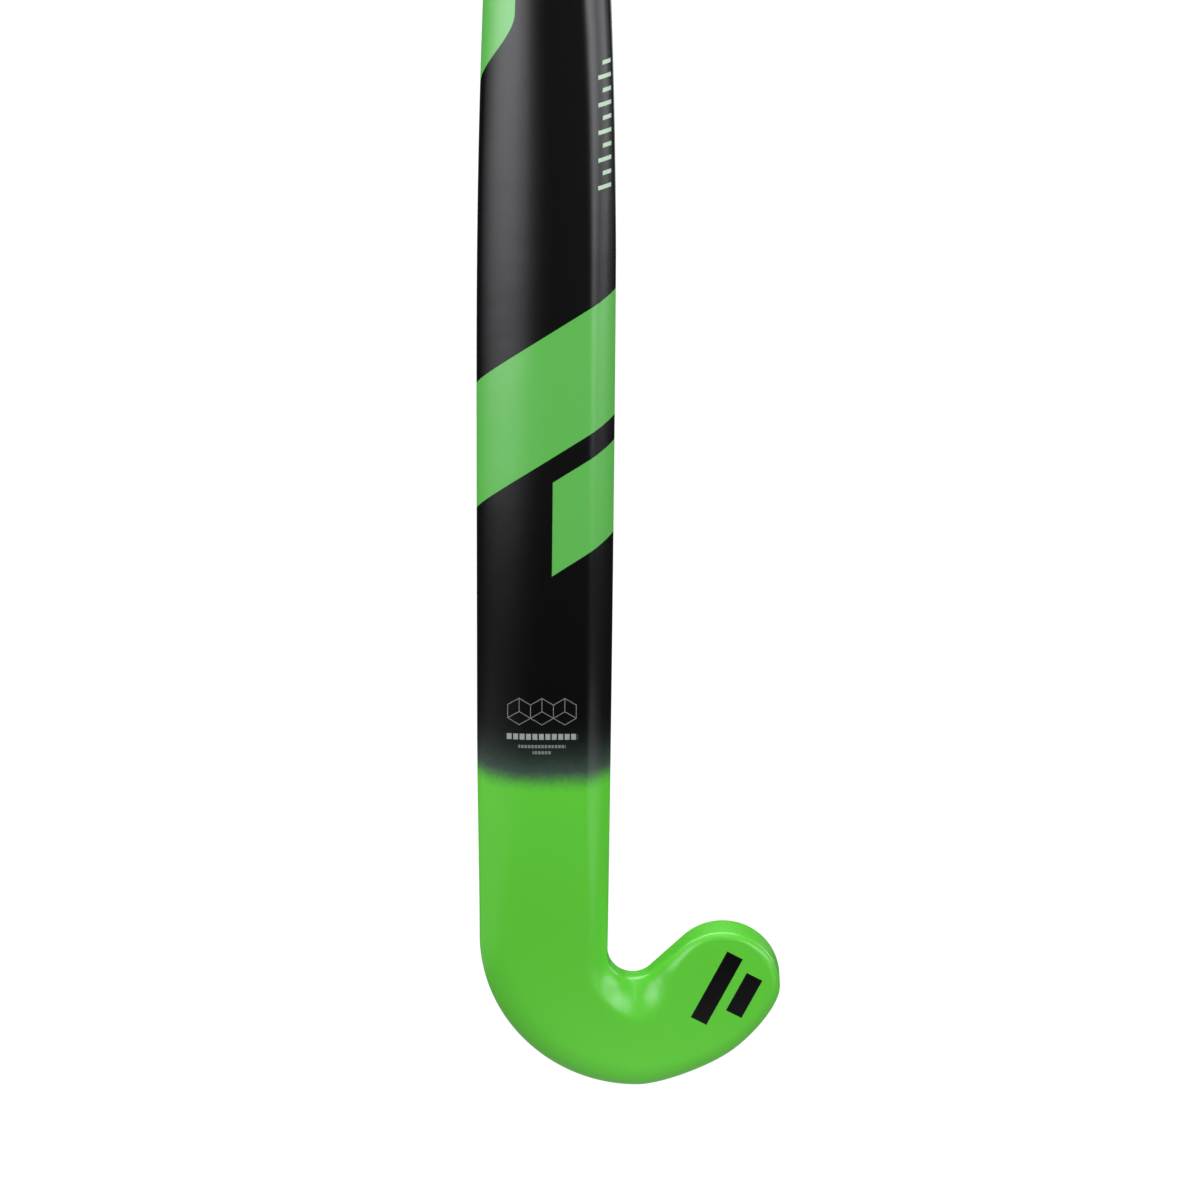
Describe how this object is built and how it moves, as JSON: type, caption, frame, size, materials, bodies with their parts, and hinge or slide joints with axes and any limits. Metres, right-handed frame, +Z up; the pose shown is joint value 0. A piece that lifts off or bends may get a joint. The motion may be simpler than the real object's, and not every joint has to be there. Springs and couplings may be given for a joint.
{
  "type": "field hockey stick",
  "caption": "Composite field hockey stick with a low bow, a hooked head, a flat playing face, a rounded back and a cushioned grip, for striking and stopping a ball.",
  "frame": {"origin": "middle of the bottom of the bounding box, the stick standing on its head", "axes": "+Z up the stick from head to butt, +X towards the toe of the hook, +Y out of the flat playing face"},
  "size_m": [0.1094, 0.05, 0.9282],
  "materials": {
    "satin_lacquer": "satin",
    "laminate": "satin",
    "core_foam": "matte",
    "head_filler": "matte",
    "plug_plastic": "matte",
    "weight_steel": "satin",
    "underlay": "matte",
    "grip_foam": "matte",
    "binding_tape": "satin",
    "cap_rubber": "matte"
  },
  "bodies": {
    "root": {"composite_shell": "satin_lacquer", "centre_rib": "laminate", "heel_side_foam": "core_foam", "toe_side_foam": "core_foam", "head_core": "head_filler", "butt_plug": "plug_plastic", "balance_weight": "weight_steel", "grip_underlay": "underlay", "cushion_grip": "grip_foam", "finishing_tape": "binding_tape", "end_cap": "cap_rubber"}
  },
  "joints": []
}
